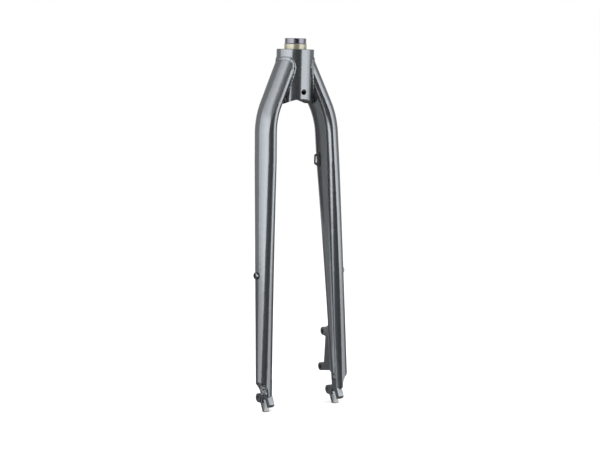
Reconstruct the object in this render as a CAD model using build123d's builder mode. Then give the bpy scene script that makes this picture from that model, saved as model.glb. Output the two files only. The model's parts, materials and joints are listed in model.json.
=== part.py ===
from build123d import *
import os
from math import atan2, cos, radians, sin, tan

# Rigid bicycle fork, in millimetres. The origin is on the steerer's axis at the top of the crown,
# +Z runs up the steerer, the front of the fork faces -Y and the rider's left, the disc side, is +X.

# Fork geometry
axle_to_crown = 464.0
axle_offset = 37.0
hub_width = 100.0

# Steerer
steerer_diameter = 28.6
steerer_bore = 23.4
steerer_stub = 6.6
steerer_chamfer = 0.5
race_seat_step = 0.7
race_seat_height = 7.7
race_seat_lead = 1.2
press_step = 0.3
steerer_insert = 46.0

# Crown
crown_diameter = 50.0
crown_height = 72.0
crown_arch_rise = 7.0
crown_arch_radius = 40.0
crown_hole_diameter = 7.5
crown_hole_rise = 16.0
crown_chamfer = 0.6

# Legs
leg_width = 24.6
leg_depth = 42.0
leg_toe = 2.0
leg_crest = 3.1
leg_wall = 2.4
shoulder_angle = 24.7
bend_across = 47.05
bend_radius = 100.0
bend_depth = 90.3
taper_start = 150.0
waist_depth = 300.0
waist_width = 22.6
waist_fore_aft = 32.4
foot_diameter = 21.1
foot_outset = 9.5
blade_lead = 3.0
crown_lead = 1.4
vent_diameter = 3.0
vent_rise = 26.5
vent_turn = -14.0

# Dropouts
dropout_thickness = 8.0
slot_width = 9.6
slot_lean = 31.0
front_neck = 3.2
front_tip_width = 7.4
front_tip_length = 11.2
front_tip_round = 3.0
rear_tip_width = 5.2
rear_tip_length = 13.0
rear_tip_round = 3.5
foot_rise = 8.3
tongue_width = 12.0
tongue_length = 22.0
eyelet_diameter = 12.2
eyelet_bore = 5.0
eyelet_setback = 14.4
eyelet_rise = 1.2
eyelet_proud = 1.0
scallop_height = 16.0
scallop_tilt = 11.0
inner_flat_height = 9.0

# Disc brake mount
mount_hole_spacing = 51.0
mount_hole_diameter = 6.2
mount_hole_setback = 35.2
mount_hole_rise = 78.8
mount_lean = 4.4
mount_outset = 2.5
mount_thickness = 8.0
mount_ear_diameter = 11.4
mount_ear_length = 7.0
mount_web_setback = 7.8
mount_web_slope = 1.5
mount_top_slope = 38.0
mount_bottom_slope = 12.0
mount_round = 1.6

# Rack bosses and hose guide
boss_depth = 297.0
boss_diameter = 9.4
boss_bore = 5.0
boss_proud = 3.2
boss_barrel = 7.0
boss_chamfer = 0.7
guide_depth = 147.0
guide_turn = 30.0
guide_height = 20.0
guide_width = 7.0
guide_proud = 6.0
guide_span = 2.4
guide_slot_height = 9.0
guide_slot_depth = 2.2
guide_slope = 4.0
guide_round = 1.6

# Weld beads
crown_bead = 1.2
mount_bead = 1.8

# Derived places
steerer_radius = steerer_diameter / 2
race_seat_radius = steerer_radius + race_seat_step
press_radius = steerer_radius + press_step
crown_radius = crown_diameter / 2
axle_y = -axle_offset
axle_z = -axle_to_crown
dropout_inner = hub_width / 2
dropout_outer = dropout_inner + dropout_thickness
foot_across = dropout_inner + foot_outset
foot_radius = foot_diameter / 2
foot_z = axle_z + foot_rise
crown_middle = crown_height / 2
rake = atan2(axle_offset + blade_lead - crown_lead, axle_to_crown - crown_middle)
blade_front = Vector(0, -cos(rake), sin(rake))
blade_down = Vector(0, -sin(rake), -cos(rake))
sides = {"left": 1, "right": -1}

os.makedirs("parts", exist_ok=True)


def blade_point(side, across, depth):
    """Point of the legs' common plane, which tilts forward from just before the middle of the crown."""
    run = (depth - crown_middle) / cos(rake)
    return Vector(side * across, -crown_lead, -crown_middle) + blade_down * run


def leg_axis(side):
    """Top, both ends of the bend and foot of a leg's axis, with the directions of its two straights."""
    corner = blade_point(side, bend_across, bend_depth)
    foot = blade_point(side, foot_across, axle_to_crown)
    slope = radians(shoulder_angle)
    shoulder = (Vector(side, 0, 0) * sin(slope) + blade_down * cos(slope)).normalized()
    shank = (foot - corner).normalized()
    reach = bend_radius * tan(radians(shoulder.get_angle(shank)) / 2)
    top = corner - shoulder * (bend_across / sin(slope))
    return top, corner - shoulder * reach, corner + shank * reach, foot, shoulder, shank


def shank_point(side, depth):
    """Point of a leg's lower straight at a depth below the crown's top."""
    top, bend_start, bend_end, foot, shoulder, shank = leg_axis(side)
    return bend_end + shank * ((-depth - bend_end.Z) / shank.Z)


def section_plane(side, origin, way):
    """Plane of a leg's cross-section, with the long axis of its oval turned outward at the front."""
    outward = blade_front.cross(way) * side
    long_axis = blade_front * cos(radians(leg_toe)) + outward * sin(radians(leg_toe))
    return Plane(origin=origin, x_dir=long_axis, z_dir=way)


def leg_section(side, fore_aft, width, crest):
    """Face of a leg's cross-section, four quarter ellipses that meet in front inboard of its middle."""
    with BuildSketch() as section:
        with BuildLine():
            for start in (0, 90, 180, 270):
                inset = side * crest if start < 180 else -side * crest
                half_width = width / 2 - inset
                EllipticalCenterArc((0, side * crest), fore_aft / 2, half_width, start, arc_size=90)
        make_face()
    return section.sketch


def leg_form(side, growth):
    """Solid form of a leg: its outside at no growth, its hollow at minus the wall, a bead's reach at plus."""
    top, bend_start, bend_end, foot, shoulder, shank = leg_axis(side)
    straight_end = shank_point(side, taper_start)
    waist = shank_point(side, waist_depth)
    spread = 2 * growth
    oval = leg_section(side, leg_depth + spread, leg_width + spread, leg_crest)
    waist_oval = leg_section(side, waist_fore_aft + spread, waist_width + spread, 0)
    foot_round = leg_section(side, foot_diameter + spread, foot_diameter + spread, 0)
    with BuildPart() as form:
        with BuildLine() as axis:
            Line(top, bend_start)
            TangentArc(bend_start, bend_end, tangent=shoulder)
        with BuildSketch(section_plane(side, top, shoulder)):
            add(oval)
        sweep(path=axis.wires()[0])
        with BuildSketch(section_plane(side, bend_end, shank)):
            add(oval)
        extrude(amount=(straight_end - bend_end).length)
        with BuildSketch(section_plane(side, straight_end, shank)):
            add(oval)
        with BuildSketch(section_plane(side, waist, shank)):
            add(waist_oval)
        with BuildSketch(section_plane(side, foot, shank)):
            add(foot_round)
        loft()
    return form.part


def slot_point(along, across):
    """Place in a dropout's plane, along the slot from the axle and across it towards the rear."""
    lean = radians(slot_lean)
    return (across * cos(lean) - along * sin(lean), -along * cos(lean) - across * sin(lean))


# Steerer, turned with a seat for the crown race that stops its press fit in the crown
with BuildPart() as steerer_tube:
    steerer_top = race_seat_height + steerer_stub
    with BuildSketch(Plane.XZ):
        with BuildLine():
            Polyline(
                (steerer_bore / 2, -steerer_insert),
                (press_radius, -steerer_insert),
                (press_radius, 0),
                (race_seat_radius, 0),
                (race_seat_radius, race_seat_height - race_seat_lead),
                (steerer_radius, race_seat_height),
                (steerer_radius, steerer_top - steerer_chamfer),
                (steerer_radius - steerer_chamfer, steerer_top),
                (steerer_bore / 2, steerer_top),
                close=True,
            )
        make_face()
    revolve(axis=Axis.Z)
steerer_tube.part.label = "steerer_tube"
export_step(steerer_tube.part, "parts/steerer_tube.step")

# Crown, a thick tube whose bottom is cut in an arch over the tyre
with BuildPart() as crown_tube:
    with BuildSketch():
        Circle(crown_radius)
        Circle(press_radius, mode=Mode.SUBTRACT)
    extrude(amount=-crown_height)
    chamfer(crown_tube.edges().group_by(Axis.Z)[-1].sort_by(SortBy.RADIUS)[-1], crown_chamfer)
    with BuildSketch(Plane.XZ):
        with Locations((0, crown_arch_rise - crown_height - crown_arch_radius)):
            Circle(crown_arch_radius)
    extrude(amount=crown_diameter, both=True, mode=Mode.SUBTRACT)
    with BuildSketch(Plane.XZ):
        with Locations((0, crown_hole_rise - crown_height)):
            Circle(crown_hole_diameter / 2)
    extrude(amount=crown_diameter, both=True, mode=Mode.SUBTRACT)
crown_tube.part.label = "crown_tube"
export_step(crown_tube.part, "parts/crown_tube.step")

# Room that the crown takes out of the legs, open above so that the ends of the tubes go too
with BuildPart() as crown_room:
    with BuildSketch(Plane.XY.offset(-crown_height)):
        Circle(crown_radius)
    extrude(amount=2 * crown_height)

# Room round the crown within a bead's reach
with BuildPart() as crown_reach:
    with BuildSketch(Plane.XY.offset(-crown_height)):
        Circle(crown_radius + crown_bead)
    extrude(amount=crown_height)

leg_outside = {}
leg_hollow = {}
for name, side in sides.items():
    leg_outside[name] = leg_form(side, 0)
    leg_hollow[name] = leg_form(side, -leg_wall)

# Dropouts, each a plate with its slot, eyelet and tongue
dropouts = {}
for name, side in sides.items():
    foot_place = shank_point(side, -foot_z).Y - axle_y
    plate_plane = Plane(origin=(side * dropout_inner, axle_y, axle_z), x_dir=(0, 1, 0), z_dir=(1, 0, 0))
    front_edge = slot_width / 2 + front_tip_width
    rear_edge = slot_width / 2 + rear_tip_width
    eyelet_radius = eyelet_diameter / 2
    with BuildPart() as dropout:
        with BuildSketch(plate_plane) as plate:
            with BuildLine():
                Polyline(
                    (foot_place - foot_radius + front_neck, foot_rise),
                    slot_point(front_tip_length, -front_edge),
                    slot_point(front_tip_length, 0),
                    slot_point(rear_tip_length, 0),
                    slot_point(rear_tip_length, rear_edge),
                    slot_point(0, rear_edge),
                    (eyelet_setback, eyelet_rise - eyelet_radius),
                    (eyelet_setback, eyelet_rise + eyelet_radius),
                    (foot_place + foot_radius, foot_rise),
                    close=True,
                )
            make_face()
            front_tip = plate.vertices().sort_by_distance(slot_point(front_tip_length, -front_edge))[0]
            fillet(front_tip, front_tip_round)
            rear_tip = plate.vertices().sort_by_distance(slot_point(rear_tip_length, rear_edge))[0]
            fillet(rear_tip, rear_tip_round)
            with Locations((eyelet_setback, eyelet_rise)):
                Circle(eyelet_radius)
            Circle(slot_width / 2, mode=Mode.SUBTRACT)
            with Locations(Location(slot_point(rear_tip_length, 0), 90 - slot_lean)):
                Rectangle(2 * rear_tip_length, slot_width, mode=Mode.SUBTRACT)
        extrude(amount=side * dropout_thickness)
        with BuildSketch(plate_plane):
            with Locations((foot_place, foot_rise + tongue_length / 2)):
                Rectangle(tongue_width, tongue_length)
        extrude(amount=side * dropout_thickness)
        with BuildSketch(plate_plane):
            with Locations((eyelet_setback, eyelet_rise)):
                Circle(eyelet_radius)
        extrude(amount=side * (dropout_thickness + eyelet_proud))
        with BuildSketch(plate_plane):
            with Locations((eyelet_setback, eyelet_rise)):
                Circle(eyelet_bore / 2)
        extrude(amount=side * 2 * dropout_thickness, mode=Mode.SUBTRACT)
    dropouts[name] = dropout.part
    dropout.part.label = f"{name}_dropout"
    export_step(dropout.part, f"parts/{name}_dropout.step")

# Brake mount, a plate with two ears, drawn with its corners' places taken from its upper and lower holes
mount_inner = dropout_inner + mount_outset
mount_plane = Plane(origin=(mount_inner, axle_y, axle_z), x_dir=(0, 1, 0), z_dir=(1, 0, 0))
mount_upper = Vector(mount_hole_setback, mount_hole_rise)
mount_lower = mount_upper + Vector(sin(radians(mount_lean)), -cos(radians(mount_lean))) * mount_hole_spacing
mount_ear = mount_ear_diameter / 2
mount_root = shank_point(sides["left"], axle_to_crown - mount_upper.Y).Y - axle_y


def mount_outline(growth):
    """Outline of the brake mount's plate, which runs forward into the leg, with its edge moved out."""
    ear_start = mount_upper + Vector(-mount_ear_length, mount_ear)
    top_rise = (ear_start.X - mount_root) * tan(radians(mount_top_slope))
    bottom_rise = (mount_lower.X - mount_root) * tan(radians(mount_bottom_slope))
    web_top = mount_upper + Vector(-mount_web_setback, -mount_ear)
    web_bottom = mount_lower + Vector(-mount_web_setback - mount_web_slope, mount_ear)
    with BuildSketch(mount_plane) as outline:
        with BuildLine():
            Polyline(
                Vector(mount_root, ear_start.Y + top_rise),
                ear_start,
                mount_upper + Vector(0, mount_ear),
                mount_upper + Vector(0, -mount_ear),
                web_top,
                web_bottom,
                mount_lower + Vector(0, mount_ear),
                mount_lower + Vector(0, -mount_ear),
                Vector(mount_root, mount_lower.Y - mount_ear + bottom_rise),
                close=True,
            )
        make_face()
        for corner in (web_top, web_bottom):
            fillet(outline.vertices().sort_by_distance(corner)[0], mount_round)
        with Locations(mount_upper, mount_lower):
            Circle(mount_ear)
        if growth:
            offset(amount=growth)
    return outline.sketch


mount_plate = mount_outline(0)
mount_skirt = mount_outline(mount_bead)
with BuildPart() as disc_brake_mount:
    extrude(mount_plate, amount=mount_thickness)
    with BuildSketch(mount_plane):
        with Locations(mount_upper, mount_lower):
            Circle(mount_hole_diameter / 2)
    extrude(amount=mount_thickness, mode=Mode.SUBTRACT)
    add(leg_outside["left"], mode=Mode.SUBTRACT)
disc_brake_mount.part.label = "disc_brake_mount"
export_step(disc_brake_mount.part, "parts/disc_brake_mount.step")

# Hose guide, a bridge on the inner rear of the left leg with a slot for a cable tie
guide_centre = blade_point(1, 0, guide_depth)
guide_origin = Vector(shank_point(1, guide_depth).X, guide_centre.Y, guide_centre.Z)
guide_way = Vector(-cos(radians(guide_turn)), sin(radians(guide_turn)), 0)
guide_plane = Plane(origin=guide_origin, x_dir=guide_way, z_dir=guide_way.cross(Vector(0, 0, 1)))
leg_reach = ((2 * guide_way.X / leg_width) ** 2 + (2 * guide_way.Y / leg_depth) ** 2) ** -0.5
with BuildPart() as hose_guide:
    with BuildSketch(guide_plane) as profile:
        with BuildLine():
            Polyline(
                (leg_reach - leg_wall, -guide_height / 2),
                (leg_reach, -guide_height / 2),
                (leg_reach + guide_proud, guide_slope - guide_height / 2),
                (leg_reach + guide_proud, guide_height / 2 - guide_slope),
                (leg_reach, guide_height / 2),
                (leg_reach - leg_wall, guide_height / 2),
                close=True,
            )
        make_face()
        fillet(profile.vertices().group_by(Axis.X)[-1], guide_round)
        with Locations((leg_reach + guide_proud - guide_span - guide_slot_depth / 2, 0)):
            Rectangle(guide_slot_depth, guide_slot_height, mode=Mode.SUBTRACT)
    extrude(amount=guide_width / 2, both=True)
    add(leg_outside["left"], mode=Mode.SUBTRACT)
hose_guide.part.label = "hose_guide"
export_step(hose_guide.part, "parts/hose_guide.step")

# Rack bosses, threaded barrels through the outer wall of each leg
boss_share = (boss_depth - taper_start) / (waist_depth - taper_start)
boss_reach = (leg_width + (waist_width - leg_width) * boss_share) / 2 + boss_proud
boss_planes = {}
for name, side in sides.items():
    boss_face = shank_point(side, boss_depth) + Vector(side * boss_reach, 0, 0)
    boss_planes[name] = Plane(origin=boss_face, z_dir=(-side, 0, 0))
    with BuildPart() as boss:
        with BuildSketch(boss_planes[name]):
            Circle(boss_diameter / 2)
        extrude(amount=boss_barrel + boss_proud)
        chamfer(boss.faces().sort_by(Axis.X)[-1 if side > 0 else 0].edges(), boss_chamfer)
        with BuildSketch(boss_planes[name]):
            Circle(boss_bore / 2)
        extrude(amount=boss_barrel + boss_proud, mode=Mode.SUBTRACT)
    boss.part.label = f"{name}_rack_boss"
    export_step(boss.part, f"parts/{name}_rack_boss.step")

# Cuts that shape the foot of each leg, rising to the front: a scallop that runs into the dropout's outer
# face, and a flat inside it
foot_cuts = {}
scallop_lift = rake + radians(scallop_tilt)
scallop_way = Vector(0, -cos(scallop_lift), sin(scallop_lift))
for name, side in sides.items():
    outside = side * (foot_across + foot_radius + leg_wall)
    outer = side * dropout_outer
    inner = side * dropout_inner
    inside = side * (foot_across - foot_diameter)
    scallop_start = (outside, scallop_height + leg_wall)
    scallop_end = (outer, 0)
    with BuildPart() as foot_cut:
        with BuildSketch(Plane((0, axle_y, foot_z), x_dir=(1, 0, 0), z_dir=scallop_way)):
            with BuildLine():
                TangentArc(scallop_end, scallop_start, tangent=(0, 1))
                Polyline(scallop_end, (outer, -foot_rise), (outside, -foot_rise), scallop_start)
            make_face()
            with BuildLine():
                Polyline(
                    (inner, inner_flat_height),
                    (inside, inner_flat_height + foot_diameter),
                    (inside, -foot_rise),
                    (inner, -foot_rise),
                    close=True,
                )
            make_face()
        extrude(amount=2 * foot_diameter, both=True)
    foot_cuts[name] = foot_cut.part

# Legs, hollow, coped to the crown and cut at the foot
for name, side in sides.items():
    vent_seat = shank_point(side, axle_to_crown - vent_rise)
    vent_way = Vector(-side * cos(radians(vent_turn)), sin(radians(vent_turn)), 0)
    with BuildPart() as leg:
        add(leg_outside[name])
        add(leg_hollow[name], mode=Mode.SUBTRACT)
        add(crown_room.part, mode=Mode.SUBTRACT)
        split(bisect_by=Plane.XY.offset(foot_z), keep=Keep.TOP)
        add(foot_cuts[name], mode=Mode.SUBTRACT)
        add(dropouts[name], mode=Mode.SUBTRACT)
        with BuildSketch(boss_planes[name]):
            Circle(boss_diameter / 2)
        extrude(amount=boss_barrel + boss_proud, mode=Mode.SUBTRACT)
        with BuildSketch(Plane(origin=vent_seat, z_dir=vent_way)):
            Circle(vent_diameter / 2)
        extrude(amount=foot_diameter, mode=Mode.SUBTRACT)
    leg.part.label = f"{name}_leg"
    export_step(leg.part, f"parts/{name}_leg.step")

    # Weld that closes the foot between the dropout and the scallop
    with BuildPart() as dropout_weld:
        with BuildSketch(Plane.XY.offset(foot_z)):
            with Locations((side * (dropout_outer + foot_diameter / 2), axle_y)):
                Rectangle(foot_diameter, 2 * foot_diameter)
        extrude(amount=scallop_height + leg_wall)
        add(leg_hollow[name], mode=Mode.INTERSECT)
        add(foot_cuts[name], mode=Mode.SUBTRACT)
    dropout_weld.part.label = f"{name}_dropout_weld"
    export_step(dropout_weld.part, f"parts/{name}_dropout_weld.step")

    # Bead round the joint of the leg and the crown
    leg_skirt = leg_form(side, crown_bead)
    with BuildPart() as crown_weld:
        add(leg_skirt)
        add(crown_reach.part, mode=Mode.INTERSECT)
        add(leg_outside[name], mode=Mode.SUBTRACT)
        add(crown_room.part, mode=Mode.SUBTRACT)
    crown_weld.part.label = f"{name}_crown_weld"
    export_step(crown_weld.part, f"parts/{name}_crown_weld.step")

# Bead round the joint of the brake mount and the leg
mount_leg_skirt = leg_form(sides["left"], mount_bead)
with BuildPart() as disc_mount_weld:
    extrude(mount_skirt, amount=mount_thickness + mount_bead)
    extrude(mount_skirt, amount=-mount_bead)
    add(mount_leg_skirt, mode=Mode.INTERSECT)
    add(leg_outside["left"], mode=Mode.SUBTRACT)
    add(disc_brake_mount.part, mode=Mode.SUBTRACT)
disc_mount_weld.part.label = "disc_mount_weld"
export_step(disc_mount_weld.part, "parts/disc_mount_weld.step")
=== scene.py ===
import json
from math import atan2, cos, hypot, pi, radians, sin, tan

import bmesh
import bpy
from mathutils import Matrix, Vector


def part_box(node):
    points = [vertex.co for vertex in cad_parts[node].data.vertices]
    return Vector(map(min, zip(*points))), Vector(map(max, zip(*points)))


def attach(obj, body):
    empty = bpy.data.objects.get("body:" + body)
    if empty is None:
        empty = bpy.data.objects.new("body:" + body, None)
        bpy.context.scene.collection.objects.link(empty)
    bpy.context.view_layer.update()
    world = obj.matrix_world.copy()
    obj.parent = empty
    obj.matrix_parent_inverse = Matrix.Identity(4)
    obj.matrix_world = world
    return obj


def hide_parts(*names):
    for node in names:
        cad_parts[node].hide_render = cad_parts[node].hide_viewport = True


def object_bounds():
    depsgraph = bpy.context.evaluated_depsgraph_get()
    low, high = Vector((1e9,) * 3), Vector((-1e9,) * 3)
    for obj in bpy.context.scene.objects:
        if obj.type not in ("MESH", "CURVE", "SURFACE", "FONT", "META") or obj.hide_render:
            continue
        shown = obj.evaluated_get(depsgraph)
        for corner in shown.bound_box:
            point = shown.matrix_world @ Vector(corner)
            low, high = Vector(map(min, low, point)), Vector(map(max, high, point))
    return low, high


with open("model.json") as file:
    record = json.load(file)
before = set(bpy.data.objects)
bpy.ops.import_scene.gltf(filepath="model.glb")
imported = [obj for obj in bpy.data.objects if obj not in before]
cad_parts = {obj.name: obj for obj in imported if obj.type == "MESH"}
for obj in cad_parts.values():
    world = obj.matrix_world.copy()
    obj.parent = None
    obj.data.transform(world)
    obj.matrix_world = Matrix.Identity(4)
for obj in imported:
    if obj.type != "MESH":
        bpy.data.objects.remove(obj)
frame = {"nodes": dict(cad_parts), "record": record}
cad_low, cad_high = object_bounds()
nodes = frame["nodes"]
MM = 0.001

# The photograph's view: turn from straight ahead, rise above level, tilt, distance and the point looked at
VIEW_TURN = radians(-30.571)
VIEW_RISE = radians(7.316)
VIEW_TILT = radians(1.341)
VIEW_DISTANCE = 1838.8 * MM
VIEW_ASIDE = 11.6 * MM
VIEW_HEIGHT = -235.3 * MM
IMAGE_WIDTH = 600
FOCAL_PIXELS = 1362.0
SENSOR_WIDTH = 36.0

# Places on the fork that its patterns and welds follow
AXLE_AHEAD = -37.0 * MM
AXLE_HEIGHT = -464.0 * MM
SLOT_WIDTH = 9.6 * MM
SLOT_LEAN = radians(31)
RACE_SEAT_TOP = 6.4 * MM
crown_low, crown_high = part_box("crown_tube")
crown_radius = (crown_high[0] - crown_low[0]) / 2
floor_height = cad_low[2]


def linear(hex_colour):
    """Turns a written sRGB colour into the linear values that a shader takes."""
    channels = [int(hex_colour[i:i + 2], 16) / 255 for i in (1, 3, 5)]
    return [c / 12.92 if c <= 0.04045 else ((c + 0.055) / 1.055) ** 2.4 for c in channels] + [1.0]


def add_node(tree, kind, links=(), **settings):
    """Adds a node, sets its own settings and its sockets' values, and links other nodes' outputs into it."""
    node = tree.nodes.new(kind)
    sockets = settings.pop("sockets", {})
    for name, value in settings.items():
        setattr(node, name, value)
    for name, value in sockets.items():
        node.inputs[name].default_value = value
    for name, source in dict(links).items():
        tree.links.new(source, node.inputs[name])
    return node


def new_material(name):
    """Makes an empty node material, and gives it with its tree and its surface shader."""
    material = bpy.data.materials.new(name)
    material.use_nodes = True
    tree = material.node_tree
    tree.nodes.clear()
    shader = add_node(tree, "ShaderNodeBsdfPrincipled")
    add_node(tree, "ShaderNodeOutputMaterial", {"Surface": shader.outputs["BSDF"]})
    return material, tree, shader


# Sprayed metallic graphite lacquer: aluminium flakes in a dark grey base under a clear coat, so it mirrors
# the studio softly, sparkles a little close up and shows the faint ripple of sprayed lacquer. The flakes are
# drawn coarser than the real 0.05 mm so that they show
PAINT_FLAKE_SIZE = 0.7 * MM
PAINT_RIPPLE_SIZE = 2.4 * MM
PAINT_RIPPLE_DETAIL = 2.0
PAINT_RIPPLE_DEPTH = 0.1 * MM
PAINT_RIPPLE_STRENGTH = 0.05
PAINT_DARK = "#5C5F62"
PAINT_LIGHT = "#676A6E"
PAINT_EDGE = "#B0B0B0"
PAINT_METALLIC = 0.92
PAINT_SMOOTHEST = 0.15
PAINT_ROUGHEST = 0.21
COAT_WEIGHT = 0.25
COAT_ROUGHNESS = 0.04

# Bare aluminium where the lacquer is masked off the slots: milled, matt and pale
BARE_ALUMINIUM = "#7E7F80"
BARE_ROUGHNESS = 0.5
BARE_MARGIN = 0.3 * MM
BARE_START = 1.0 * MM


def lacquer_pattern(tree, shader, place):
    """Lays flakes, spray ripple and gloss on a shader, and gives the flakes' colour and the roughness."""
    flakes = add_node(
        tree, "ShaderNodeTexVoronoi", {"Vector": place}, sockets={"Scale": 1 / PAINT_FLAKE_SIZE},
    )
    tone = add_node(
        tree, "ShaderNodeMix", {"Factor": flakes.outputs["Color"]}, data_type="RGBA",
        sockets={"A": linear(PAINT_DARK), "B": linear(PAINT_LIGHT)},
    )
    ripple = add_node(
        tree, "ShaderNodeTexNoise", {"Vector": place},
        sockets={"Scale": 1 / PAINT_RIPPLE_SIZE, "Detail": PAINT_RIPPLE_DETAIL},
    )
    gloss = add_node(
        tree, "ShaderNodeMapRange", {"Value": ripple.outputs["Fac"]},
        sockets={"To Min": PAINT_SMOOTHEST, "To Max": PAINT_ROUGHEST},
    )
    bump = add_node(
        tree, "ShaderNodeBump", {"Height": ripple.outputs["Fac"]},
        sockets={"Strength": PAINT_RIPPLE_STRENGTH, "Distance": PAINT_RIPPLE_DEPTH},
    )
    tree.links.new(bump.outputs["Normal"], shader.inputs["Normal"])
    shader.inputs["Metallic"].default_value = PAINT_METALLIC
    shader.inputs["Specular Tint"].default_value = linear(PAINT_EDGE)
    shader.inputs["Coat Weight"].default_value = COAT_WEIGHT
    shader.inputs["Coat Roughness"].default_value = COAT_ROUGHNESS
    return tone.outputs["Result"], gloss.outputs["Result"]


def graphite_lacquer():
    """The lacquer on every piece but the steerer and the dropouts."""
    material, tree, shader = new_material("graphite_metallic_lacquer")
    place = add_node(tree, "ShaderNodeTexCoord").outputs["Object"]
    tone, gloss = lacquer_pattern(tree, shader, place)
    tree.links.new(tone, shader.inputs["Base Color"])
    tree.links.new(gloss, shader.inputs["Roughness"])
    return material


def masked_lacquer():
    """The same lacquer on the dropouts, masked off the axle slots so that their walls show bare metal."""
    material, tree, shader = new_material("graphite_lacquer_with_bare_aluminium_slots")
    place = add_node(tree, "ShaderNodeTexCoord").outputs["Object"]
    tone, gloss = lacquer_pattern(tree, shader, place)
    from_axle = add_node(
        tree, "ShaderNodeVectorMath", {0: place}, operation="SUBTRACT",
        sockets={1: (0, AXLE_AHEAD, AXLE_HEIGHT)},
    ).outputs["Vector"]
    across = add_node(
        tree, "ShaderNodeVectorMath", {0: from_axle}, operation="DOT_PRODUCT",
        sockets={1: (0, cos(SLOT_LEAN), -sin(SLOT_LEAN))},
    ).outputs["Value"]
    along = add_node(
        tree, "ShaderNodeVectorMath", {0: from_axle}, operation="DOT_PRODUCT",
        sockets={1: (0, -sin(SLOT_LEAN), -cos(SLOT_LEAN))},
    ).outputs["Value"]
    aside = add_node(tree, "ShaderNodeMath", {0: across}, operation="ABSOLUTE").outputs["Value"]
    within = add_node(
        tree, "ShaderNodeMath", {0: aside}, operation="LESS_THAN", sockets={1: SLOT_WIDTH / 2 + BARE_MARGIN},
    ).outputs["Value"]
    below = add_node(
        tree, "ShaderNodeMath", {0: along}, operation="GREATER_THAN", sockets={1: BARE_START},
    ).outputs["Value"]
    bare = add_node(tree, "ShaderNodeMath", {0: within, 1: below}, operation="MULTIPLY").outputs["Value"]
    colour = add_node(
        tree, "ShaderNodeMix", {"Factor": bare, "A": tone}, data_type="RGBA",
        sockets={"B": linear(BARE_ALUMINIUM)},
    )
    roughness = add_node(
        tree, "ShaderNodeMix", {"Factor": bare, "A": gloss}, sockets={"B": BARE_ROUGHNESS},
    )
    tree.links.new(colour.outputs["Result"], shader.inputs["Base Color"])
    tree.links.new(roughness.outputs["Result"], shader.inputs["Roughness"])
    return material


# Turned steel: the lathe leaves fine rings round the tube that spread its shine, and the race seat below
# keeps a pale gold plating. The rings are drawn coarser than the real 0.1 mm so that they show
RING_PITCH = 0.5 * MM
RING_WANDER = 1.5
RING_DETAIL = 2.0
RING_DEPTH = 0.05 * MM
RING_STRENGTH = 0.12
STEEL_DARK = "#57575E"
STEEL_LIGHT = "#63636A"
STEEL_METALLIC = 1.0
STEEL_SMOOTHEST = 0.16
STEEL_ROUGHEST = 0.24
SEAT_GOLD = "#807D6E"
SEAT_METALLIC = 0.5

# Scale at which the wave texture's bands come once in a unit of length
BAND_SCALE = pi / 10


def turned_steel():
    """The bare steerer and its plated seat."""
    material, tree, shader = new_material("turned_steel_with_pale_gold_plated_seat")
    place = add_node(tree, "ShaderNodeTexCoord").outputs["Object"]
    rings = add_node(
        tree, "ShaderNodeTexWave", {"Vector": place}, wave_type="BANDS", bands_direction="Z",
        sockets={"Scale": BAND_SCALE / RING_PITCH, "Distortion": RING_WANDER, "Detail": RING_DETAIL},
    )
    tone = add_node(
        tree, "ShaderNodeMix", {"Factor": rings.outputs["Fac"]}, data_type="RGBA",
        sockets={"A": linear(STEEL_DARK), "B": linear(STEEL_LIGHT)},
    )
    height = add_node(tree, "ShaderNodeSeparateXYZ", {"Vector": place}).outputs["Z"]
    seat = add_node(
        tree, "ShaderNodeMath", {0: height}, operation="LESS_THAN", sockets={1: RACE_SEAT_TOP},
    ).outputs["Value"]
    colour = add_node(
        tree, "ShaderNodeMix", {"Factor": seat, "A": tone.outputs["Result"]}, data_type="RGBA",
        sockets={"B": linear(SEAT_GOLD)},
    )
    gloss = add_node(
        tree, "ShaderNodeMapRange", {"Value": rings.outputs["Fac"]},
        sockets={"To Min": STEEL_SMOOTHEST, "To Max": STEEL_ROUGHEST},
    )
    metal = add_node(
        tree, "ShaderNodeMix", {"Factor": seat}, sockets={"A": STEEL_METALLIC, "B": SEAT_METALLIC},
    )
    bump = add_node(
        tree, "ShaderNodeBump", {"Height": rings.outputs["Fac"]},
        sockets={"Strength": RING_STRENGTH, "Distance": RING_DEPTH},
    )
    tree.links.new(colour.outputs["Result"], shader.inputs["Base Color"])
    tree.links.new(gloss.outputs["Result"], shader.inputs["Roughness"])
    tree.links.new(bump.outputs["Normal"], shader.inputs["Normal"])
    tree.links.new(metal.outputs["Result"], shader.inputs["Metallic"])
    return material


paint = graphite_lacquer()
masked_paint = masked_lacquer()
steel = turned_steel()
finishes = {"steerer_tube": steel, "left_dropout": masked_paint, "right_dropout": masked_paint}
for name, node in nodes.items():
    node.data.materials.clear()
    node.data.materials.append(finishes.get(name, paint))


def new_tree(name, inputs):
    """Starts a geometry tree with named inputs, and gives it with its input sockets and its output node."""
    tree = bpy.data.node_groups.new(name, "GeometryNodeTree")
    tree.interface.new_socket("Geometry", in_out="INPUT", socket_type="NodeSocketGeometry")
    for label, kind in inputs.items():
        tree.interface.new_socket(label, in_out="INPUT", socket_type=kind)
    tree.interface.new_socket("Geometry", in_out="OUTPUT", socket_type="NodeSocketGeometry")
    return tree, add_node(tree, "NodeGroupInput").outputs, add_node(tree, "NodeGroupOutput")


def end_tree(tree, group_output, geometry, material):
    """Ends a tree with real geometry that carries its material."""
    real = add_node(tree, "GeometryNodeRealizeInstances", {"Geometry": geometry})
    coated = add_node(
        tree, "GeometryNodeSetMaterial", {"Geometry": real.outputs["Geometry"], "Material": material},
    )
    tree.links.new(coated.outputs["Geometry"], group_output.inputs["Geometry"])


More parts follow.
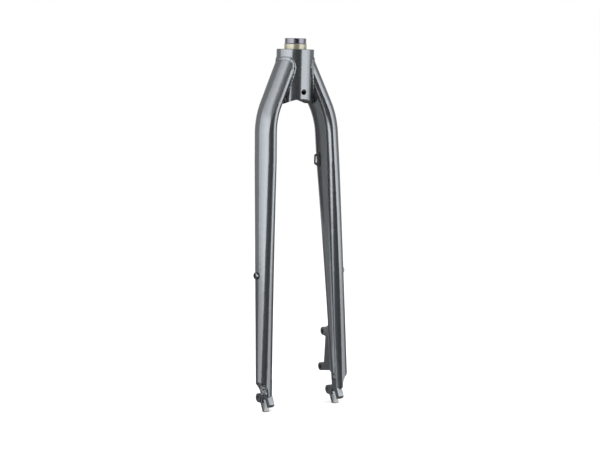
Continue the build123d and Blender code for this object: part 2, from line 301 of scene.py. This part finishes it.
def grow(name, mesh, tree, values):
    """Runs a tree on a mesh with its inputs set, and gives what it makes as a plain piece on the fork."""
    start = bpy.data.objects.new(f"{name}_start", mesh)
    bpy.context.scene.collection.objects.link(start)
    modifier = start.modifiers.new(tree.name, "NODES")
    modifier.node_group = tree
    for item in tree.interface.items_tree:
        if item.in_out == "INPUT" and item.name in values:
            modifier[item.identifier] = values[item.name]
    evaluated = start.evaluated_get(bpy.context.evaluated_depsgraph_get())
    plain = bpy.data.meshes.new_from_object(evaluated)
    plain.name = name
    start.modifiers.remove(modifier)
    bpy.data.objects.remove(start)
    piece = bpy.data.objects.new(name, plain)
    bpy.context.scene.collection.objects.link(piece)
    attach(piece, "root")
    return piece


# Faces round and along each ball that makes a ripple
RIPPLE_SEGMENTS = 20
RIPPLE_RINGS = 8


def ripple_tree():
    """Row of overlapping ripples along a path, thinner at its ends, as a hand-fed weld leaves them."""
    tree, given, group_output = new_tree("weld_ripples", {
        "Ripple Pitch": "NodeSocketFloat", "Ripple Radius": "NodeSocketFloat",
        "Ripple Length": "NodeSocketFloat", "Unevenness": "NodeSocketFloat", "Joint Top": "NodeSocketFloat",
        "Full Height": "NodeSocketFloat", "Joint Foot": "NodeSocketFloat", "End Share": "NodeSocketFloat",
        "Seed": "NodeSocketInt", "Material": "NodeSocketMaterial",
    })
    path = add_node(tree, "GeometryNodeMeshToCurve", {"Mesh": given["Geometry"]})
    points = add_node(
        tree, "GeometryNodeCurveToPoints", {"Curve": path.outputs["Curve"], "Length": given["Ripple Pitch"]},
        mode="LENGTH",
    )
    ball = add_node(
        tree, "GeometryNodeMeshUVSphere",
        sockets={"Segments": RIPPLE_SEGMENTS, "Rings": RIPPLE_RINGS, "Radius": 1.0},
    )
    ripple = add_node(tree, "GeometryNodeSetShadeSmooth", {"Geometry": ball.outputs["Mesh"]})
    low = add_node(tree, "ShaderNodeMath", {1: given["Unevenness"]}, operation="SUBTRACT", sockets={0: 1.0})
    high = add_node(tree, "ShaderNodeMath", {1: given["Unevenness"]}, operation="ADD", sockets={0: 1.0})
    uneven = add_node(
        tree, "FunctionNodeRandomValue",
        {"Min": low.outputs["Value"], "Max": high.outputs["Value"], "Seed": given["Seed"]},
        data_type="FLOAT",
    )
    place = add_node(tree, "GeometryNodeInputPosition")
    height = add_node(tree, "ShaderNodeSeparateXYZ", {"Vector": place.outputs["Position"]}).outputs["Z"]
    share = uneven.outputs["Value"]
    for end in ("Joint Top", "Joint Foot"):
        thinning = add_node(
            tree, "ShaderNodeMapRange",
            {"Value": height, "From Min": given["Full Height"], "From Max": given[end],
             "To Max": given["End Share"]},
            sockets={"To Min": 1.0},
        ).outputs["Result"]
        share = add_node(
            tree, "ShaderNodeMath", {0: share, 1: thinning}, operation="MULTIPLY",
        ).outputs["Value"]
    round_size = add_node(
        tree, "ShaderNodeMath", {0: given["Ripple Radius"], 1: share}, operation="MULTIPLY",
    ).outputs["Value"]
    size = add_node(
        tree, "ShaderNodeCombineXYZ", {"X": round_size, "Y": round_size, "Z": given["Ripple Length"]},
    )
    row = add_node(
        tree, "GeometryNodeInstanceOnPoints",
        {"Points": points.outputs["Points"], "Instance": ripple.outputs["Geometry"],
         "Rotation": points.outputs["Rotation"], "Scale": size.outputs["Vector"]},
    )
    end_tree(tree, group_output, row.outputs["Instances"], given["Material"])
    return tree


# Noise value that leaves a weld's surface as it is, so that lumps rise more than dips fall, and its detail
LUMP_LEVEL = 0.42
LUMP_DETAIL = 1.0


def weld_fill_tree():
    """A weld's own surface broken up into the low lumps that it keeps when it is only roughly filed."""
    tree, given, group_output = new_tree("filed_weld", {
        "Lump Size": "NodeSocketFloat", "Lump Height": "NodeSocketFloat", "Material": "NodeSocketMaterial",
    })
    often = add_node(tree, "ShaderNodeMath", {1: given["Lump Size"]}, operation="DIVIDE", sockets={0: 1.0})
    lumps = add_node(
        tree, "ShaderNodeTexNoise", {"Scale": often.outputs["Value"]}, sockets={"Detail": LUMP_DETAIL},
    )
    centred = add_node(
        tree, "ShaderNodeMath", {0: lumps.outputs["Fac"]}, operation="SUBTRACT", sockets={1: LUMP_LEVEL},
    )
    lift = add_node(
        tree, "ShaderNodeMath", {0: centred.outputs["Value"], 1: given["Lump Height"]}, operation="MULTIPLY",
    )
    outward = add_node(tree, "GeometryNodeInputNormal")
    offset = add_node(
        tree, "ShaderNodeVectorMath", {0: outward.outputs["Normal"], "Scale": lift.outputs["Value"]},
        operation="SCALE",
    )
    lumpy = add_node(
        tree, "GeometryNodeSetPosition",
        {"Geometry": given["Geometry"], "Offset": offset.outputs["Vector"]},
    )
    soft = add_node(tree, "GeometryNodeSetShadeSmooth", {"Geometry": lumpy.outputs["Geometry"]})
    end_tree(tree, group_output, soft.outputs["Geometry"], given["Material"])
    return tree


# Points in each winding of a thread, sides of its ridge, and the turn that lays it along X, as the holes lie
THREAD_STEPS = 20
RIDGE_SIDES = 4
THREAD_WAY = (0, pi / 2, 0)


def thread_tree():
    """The ridges of a screw thread wound along each tapped hole."""
    tree, given, group_output = new_tree("tapped_thread", {
        "Pitch": "NodeSocketFloat", "Radius": "NodeSocketFloat", "Depth": "NodeSocketFloat",
        "Ridge": "NodeSocketFloat", "Material": "NodeSocketMaterial",
    })
    turns = add_node(
        tree, "ShaderNodeMath", {0: given["Depth"], 1: given["Pitch"]}, operation="DIVIDE",
    )
    helix = add_node(
        tree, "GeometryNodeCurveSpiral",
        {"Rotations": turns.outputs["Value"], "Start Radius": given["Radius"], "End Radius": given["Radius"],
         "Height": given["Depth"]},
        sockets={"Resolution": THREAD_STEPS},
    )
    ridge = add_node(
        tree, "GeometryNodeCurvePrimitiveCircle", {"Radius": given["Ridge"]},
        sockets={"Resolution": RIDGE_SIDES},
    )
    wound = add_node(
        tree, "GeometryNodeCurveToMesh",
        {"Curve": helix.outputs["Curve"], "Profile Curve": ridge.outputs["Curve"]},
        sockets={"Fill Caps": True},
    )
    holes = add_node(tree, "GeometryNodeMeshToPoints", {"Mesh": given["Geometry"]})
    threads = add_node(
        tree, "GeometryNodeInstanceOnPoints",
        {"Points": holes.outputs["Points"], "Instance": wound.outputs["Mesh"]},
        sockets={"Rotation": THREAD_WAY},
    )
    end_tree(tree, group_output, threads.outputs["Instances"], given["Material"])
    return tree


# Weld ripples along both joints of the legs with the crown, found as the weld's own inner edge on the crown
JOINT_BINS = 60
JOINT_TOLERANCE = 0.05 * MM
RIPPLE_PITCH = 1.6 * MM
RIPPLE_RADIUS = 3.2 * MM
RIPPLE_LENGTH = 4.0 * MM
RIPPLE_UNEVENNESS = 0.06
RIPPLE_FADE = 12.0 * MM
RIPPLE_END = 4.5 * MM
RIPPLE_END_SHARE = 0.25
RIPPLE_SEED = 3


def crown_joint(weld, side):
    """Path mesh along a leg's joint with the crown, from one foot of the weld over its top to the other."""
    nearest = {}
    for vertex in nodes[weld].data.vertices:
        across, ahead, height = vertex.co
        if abs(hypot(across, ahead) - crown_radius) > JOINT_TOLERANCE:
            continue
        round_crown = atan2(ahead, across * side) * crown_radius
        above = height - crown_low[2]
        if above < RIPPLE_END:
            continue
        step = round(atan2(above, round_crown) / pi * JOINT_BINS)
        reach = hypot(round_crown, above)
        if step not in nearest or reach < nearest[step][0]:
            nearest[step] = (reach, vertex.co.copy())
    points = [nearest[step][1] for step in sorted(nearest)]
    mesh = bpy.data.meshes.new(f"{weld}_path")
    mesh.from_pydata(points, [(i, i + 1) for i in range(len(points) - 1)], [])
    return mesh


ripples = ripple_tree()
for weld, side in (("left_crown_weld", 1), ("right_crown_weld", -1)):
    path = crown_joint(weld, side)
    joint_top = max(vertex.co.z for vertex in path.vertices)
    grow(f"{weld}_ripples", path, ripples, {
        "Ripple Pitch": RIPPLE_PITCH, "Ripple Radius": RIPPLE_RADIUS, "Ripple Length": RIPPLE_LENGTH,
        "Unevenness": RIPPLE_UNEVENNESS, "Joint Top": joint_top, "Full Height": joint_top - RIPPLE_FADE,
        "Joint Foot": crown_low[2], "End Share": RIPPLE_END_SHARE, "Seed": RIPPLE_SEED, "Material": paint,
    })

# Filed welds round the dropouts, the brake mount and the crown, from evenly divided copies of their solids.
# A lump height is for the noise's whole range, of which a weld shows about half
WELD_VOXEL = 0.4 * MM
WELD_ROUNDING = 8
MERGE_DISTANCE = 0.001 * MM
LUMP_SIZE = 2.2 * MM
FOOT_LUMPS = 6.5 * MM
MOUNT_LUMPS = 3.2 * MM
CROWN_LUMPS = 0.4 * MM


def merged_copy(node_name):
    """Copy of a node's mesh with its loose triangles merged."""
    merged = nodes[node_name].data.copy()
    shell = bmesh.new()
    shell.from_mesh(merged)
    bmesh.ops.remove_doubles(shell, verts=shell.verts, dist=MERGE_DISTANCE)
    shell.to_mesh(merged)
    shell.free()
    return merged


def even_shell(node_name):
    """Merged copy of a node's mesh, divided into even faces that a weld's lumps can bend."""
    thing = bpy.data.objects.new(f"{node_name}_copy", merged_copy(node_name))
    bpy.context.scene.collection.objects.link(thing)
    divide = thing.modifiers.new("even_faces", "REMESH")
    divide.mode = "VOXEL"
    divide.voxel_size = WELD_VOXEL
    rounding = thing.modifiers.new("filed_edges", "SMOOTH")
    rounding.iterations = WELD_ROUNDING
    even = bpy.data.meshes.new_from_object(thing.evaluated_get(bpy.context.evaluated_depsgraph_get()))
    bpy.data.objects.remove(thing)
    return even


filed = weld_fill_tree()
for weld, lump_height in (
    ("left_dropout_weld", FOOT_LUMPS), ("right_dropout_weld", FOOT_LUMPS), ("disc_mount_weld", MOUNT_LUMPS),
    ("left_crown_weld", CROWN_LUMPS), ("right_crown_weld", CROWN_LUMPS),
):
    piece = grow(f"{weld}_filed", even_shell(weld), filed, {
        "Lump Size": LUMP_SIZE, "Lump Height": lump_height, "Material": paint,
    })
    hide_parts(weld)

# Dropouts with the rounded edges that deburring and lacquer leave on cut plate
PLATE_ROUNDING = 1.4 * MM
PLATE_ROUNDING_STEPS = 3
FLAT_ANGLE = radians(1)
EDGE_ANGLE = radians(40)


def rounded_plate(node_name):
    """Piece in place of a cut plate, with its flat faces made whole and its edges rounded."""
    mesh = merged_copy(node_name)
    shell = bmesh.new()
    shell.from_mesh(mesh)
    bmesh.ops.dissolve_limit(shell, angle_limit=FLAT_ANGLE, verts=shell.verts, edges=shell.edges)
    for face in shell.faces:
        face.smooth = True
    shell.to_mesh(mesh)
    shell.free()
    piece = bpy.data.objects.new(f"{node_name}_rounded", mesh)
    bpy.context.scene.collection.objects.link(piece)
    rounding = piece.modifiers.new("rounded_edges", "BEVEL")
    rounding.width = PLATE_ROUNDING
    rounding.segments = PLATE_ROUNDING_STEPS
    rounding.limit_method = "ANGLE"
    rounding.angle_limit = EDGE_ANGLE
    rounding.harden_normals = True
    piece.data = bpy.data.meshes.new_from_object(
        piece.evaluated_get(bpy.context.evaluated_depsgraph_get()),
    )
    piece.data.name = piece.name
    piece.modifiers.remove(rounding)
    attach(piece, "root")
    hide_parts(node_name)


for plate in ("left_dropout", "right_dropout"):
    rounded_plate(plate)

# Threads of the two eyelets and the two rack bosses, each wound from the end of its hole nearer the right
THREAD_PITCH = 0.8 * MM
thread_holes = [mount for mount in frame["record"]["mounts"] if mount["kind"] == "threaded_hole"]
thread_radius = thread_holes[0]["dims"]["r_mm"] * MM
thread_depth = min(mount["dims"]["length_mm"] for mount in thread_holes) * MM - 2 * THREAD_PITCH
thread_starts = [Vector(mount["pos_m"]) - Vector((thread_depth / 2, 0, 0)) for mount in thread_holes]
hole_points = bpy.data.meshes.new("thread_starts")
hole_points.from_pydata(thread_starts, [], [])
grow("tapped_threads", hole_points, thread_tree(), {
    "Pitch": THREAD_PITCH, "Radius": thread_radius, "Depth": thread_depth,
    "Ridge": THREAD_PITCH / 2, "Material": paint,
})

# Studio, laid out round the fork in metres, by turn in degrees from the camera to its right and by height
LAMP_DISTANCE = 1.3
BOARD_DISTANCE = 1.25


def studio_place(turn, height, distance):
    """Point of the studio at a turn from the camera, a height and a level distance from the fork."""
    angle = VIEW_TURN + radians(turn)
    return Vector((sin(angle) * distance, -cos(angle) * distance, height))


def softbox(name, turn_from, turn_to, low, high, radiance):
    """Adds a soft upright lamp that fills the studio between two turns and two heights."""
    lamp = bpy.data.lights.new(name, "AREA")
    lamp.shape = "RECTANGLE"
    lamp.size = 2 * LAMP_DISTANCE * tan(radians(turn_to - turn_from) / 2)
    lamp.size_y = high - low
    lamp.energy = radiance * pi * lamp.size * lamp.size_y
    thing = bpy.data.objects.new(name, lamp)
    bpy.context.scene.collection.objects.link(thing)
    outward = studio_place((turn_from + turn_to) / 2, 0, LAMP_DISTANCE)
    thing.rotation_euler = outward.to_track_quat("Z", "Y").to_euler()
    thing.location = outward + Vector((0, 0, (low + high) / 2))
    thing.visible_camera = False


def sheet(name, corners):
    """Adds a flat sheet with four corners."""
    mesh = bpy.data.meshes.new(name)
    mesh.from_pydata(corners, [], [(0, 1, 2, 3)])
    thing = bpy.data.objects.new(name, mesh)
    bpy.context.scene.collection.objects.link(thing)
    return thing


def level_corners(half, back, height):
    """Corners of a level sheet that reaches as far to the front as to the sides, and its own way back."""
    return [(-half, -half, height), (half, -half, height), (half, back, height), (-half, back, height)]


def hang_board(name, corners, colour):
    """Hangs a board of dull felt, without a shine of its own, that shows only in what the fork mirrors."""
    card = sheet(name, corners)
    card.visible_camera = False
    card.visible_diffuse = False
    card.visible_shadow = False
    material, tree, shader = new_material(f"{name}_felt")
    shader.inputs["Base Color"].default_value = linear(colour)
    shader.inputs["Roughness"].default_value = 1.0
    shader.inputs["Specular IOR Level"].default_value = 0.0
    card.data.materials.append(material)


def board(name, low, low_turns, high, high_turns, colour):
    """Hangs an upright board round the fork, with the turns of its two edges at its foot and at its top."""
    corners = [studio_place(turn, low, BOARD_DISTANCE) for turn in low_turns]
    corners += [studio_place(turn, high, BOARD_DISTANCE) for turn in reversed(high_turns)]
    hang_board(name, corners, colour)


# Soft lamps either side, dimmer towards their outer edges, their tops and their feet. Each has the turns of
# its two edges and its radiance in the three tiers, from the top down
LAMP_TIERS = {"upper": (0.4, 1.4), "middle": (-0.38, 0.4), "foot": (-0.98, -0.38)}
for name, turn_from, turn_to, *radiances in (
    ("key_outer_softbox", -98, -75, 1.4, 2.1, 0.95),
    ("key_edge_softbox", -75, -55, 2.0, 2.9, 1.3),
    ("key_softbox", -55, -29, 2.4, 3.5, 1.6),
    ("key_inner_softbox", -29, -20, 1.7, 3.5, 1.6),
    ("key_end_softbox", -20, -5, 1.0, 3.5, 1.6),
    ("fill_softbox", 40, 82, 2.1, 3.1, 1.4),
    ("fill_edge_softbox", 82, 100, 1.5, 2.2, 1.0),
):
    for (tier, (low, high)), radiance in zip(LAMP_TIERS.items(), radiances):
        softbox(f"{name}_{tier}", turn_from, turn_to, low, high, radiance)

# Dull boards that give the fork a dark room to mirror: one between the lamps by the camera, four above it
# that darken step by step to the right, and two low down either side behind the fork
CAMERA_BOARD_FOOT = -0.66
FOOT_TURNS = (-49.5, 38.8)
TOP_TURNS = (-3, 41)
UPPER_LOW = 0.3
UPPER_HIGH = 1.5
UPPER_FIRST_TURN = -12
UPPER_WIDTH = 13
UPPER_TONES = ("#D0D0D0", "#B8B8B8", "#A0A0A0", "#888888")
LOW_FOOT = -1.0
LOW_TOP = -0.45
LEFT_TURNS = (-160, -100)
RIGHT_TURNS = (100, 160)
board("camera_board", CAMERA_BOARD_FOOT, FOOT_TURNS, UPPER_LOW, TOP_TURNS, "#4E4E4E")
for step, colour in enumerate(UPPER_TONES):
    turn = UPPER_FIRST_TURN + UPPER_WIDTH * step
    turns = (turn, turn + UPPER_WIDTH)
    board(f"upper_board_{step + 1}", UPPER_LOW, turns, UPPER_HIGH, turns, colour)
board("low_left_board", LOW_FOOT, LEFT_TURNS, LOW_TOP, LEFT_TURNS, "#8C8C8C")
board("low_right_board", LOW_FOOT, RIGHT_TURNS, LOW_TOP, RIGHT_TURNS, "#A0A0A0")

# Flags that stand between the legs as painted shade, so that each leg mirrors them in place of the lamps
# beyond the other, in place of the other leg hiding those lamps from its inner side. The three at the top
# stand just before the tall one, on the far leg's side, and are darker towards the back, as painted shade
# that deepens there
FLAG_ASIDE = -0.03
SHADE_ASIDE = -0.029
FLAG_TOP = -0.05
FLAG_FOOT = -0.42
SHADE_FOOT = -0.26
for name, aside, front, back, foot, colour in (
    ("leg_shade_flag", FLAG_ASIDE, -0.005, 0.2, FLAG_FOOT, "#C8C8C8"),
    ("front_shade_flag", SHADE_ASIDE, 0.06, 0.1, SHADE_FOOT, "#9A9A9A"),
    ("middle_shade_flag", SHADE_ASIDE, 0.1, 0.2, SHADE_FOOT, "#808080"),
    ("back_shade_flag", SHADE_ASIDE, 0.2, 0.8, SHADE_FOOT, "#606060"),
):
    foot_corners = [(aside, front, foot), (aside, back, foot)]
    top_corners = [(aside, back, FLAG_TOP), (aside, front, FLAG_TOP)]
    hang_board(name, foot_corners + top_corners, colour)

# Dark board under the floor, so that faces that look down mirror it in place of the white room
UNDER_HALF = 1.7
UNDER_BACK = 3.0
UNDER_HEIGHT = -1.0
hang_board("under_board", level_corners(UNDER_HALF, UNDER_BACK, UNDER_HEIGHT), "#686868")

# Floor of matt white paper with painted light and shade: its colour is darker near the fork, where the lamps
# light it, and paler away from it, where they don't, so that it runs into the white room while it keeps the
# shadow near the fork, which mirrors the dark board in place of it
WHITE = "#FFFFFF"
# Darker tone of the floor near the fork: painted shade that lets the shadow show where the lamps light it
FLOOR_PAINTED_SHADE_TONE = "#F0F0F0"
FLOOR_ROUGHNESS = 0.9
FLOOR_HALF = 6.0
FLOOR_NEAR = 0.3
FLOOR_FAR = 1.6
floor = sheet("floor", level_corners(FLOOR_HALF, FLOOR_HALF, floor_height))
floor.visible_glossy = False
floor.visible_shadow = False
floor_material, floor_tree, floor_shader = new_material("white_floor_paper_with_painted_light")
floor_place = add_node(floor_tree, "ShaderNodeTexCoord").outputs["Object"]
floor_reach = add_node(
    floor_tree, "ShaderNodeVectorMath", {0: floor_place}, operation="LENGTH",
).outputs["Value"]
painted_light_share = add_node(
    floor_tree, "ShaderNodeMapRange", {"Value": floor_reach},
    sockets={"From Min": FLOOR_NEAR, "From Max": FLOOR_FAR},
)
floor_painted_tone = add_node(
    floor_tree, "ShaderNodeMix", {"Factor": painted_light_share.outputs["Result"]}, data_type="RGBA",
    sockets={"A": linear(FLOOR_PAINTED_SHADE_TONE), "B": linear(WHITE)},
)
floor_tree.links.new(floor_painted_tone.outputs["Result"], floor_shader.inputs["Base Color"])
floor_shader.inputs["Roughness"].default_value = FLOOR_ROUGHNESS
floor.data.materials.append(floor_material)

# White room that lights the fork evenly from all round
world = bpy.data.worlds.new("white_studio")
bpy.context.scene.world = world
world.use_nodes = True
world.node_tree.nodes.clear()
sky = add_node(
    world.node_tree, "ShaderNodeBackground", sockets={"Color": linear(WHITE), "Strength": 1.0},
)
add_node(world.node_tree, "ShaderNodeOutputWorld", {"Surface": sky.outputs["Background"]})

# Camera at the photograph's view
back = Vector((sin(VIEW_TURN) * cos(VIEW_RISE), -cos(VIEW_TURN) * cos(VIEW_RISE), sin(VIEW_RISE)))
level_right = Vector((cos(VIEW_TURN), sin(VIEW_TURN), 0))
level_up = back.cross(level_right)
right = level_right * cos(VIEW_TILT) + level_up * sin(VIEW_TILT)
up = level_up * cos(VIEW_TILT) - level_right * sin(VIEW_TILT)
camera_place = level_right * VIEW_ASIDE + Vector((0, 0, VIEW_HEIGHT)) + back * VIEW_DISTANCE
lens = bpy.data.cameras.new("photo_camera")
lens.sensor_width = SENSOR_WIDTH
lens.lens = FOCAL_PIXELS * SENSOR_WIDTH / IMAGE_WIDTH
camera = bpy.data.objects.new("photo_camera", lens)
bpy.context.scene.collection.objects.link(camera)
camera.matrix_world = Matrix.Translation(camera_place) @ Matrix((right, up, back)).transposed().to_4x4()
bpy.context.scene.camera = camera
bpy.context.scene.view_settings.view_transform = "Standard"
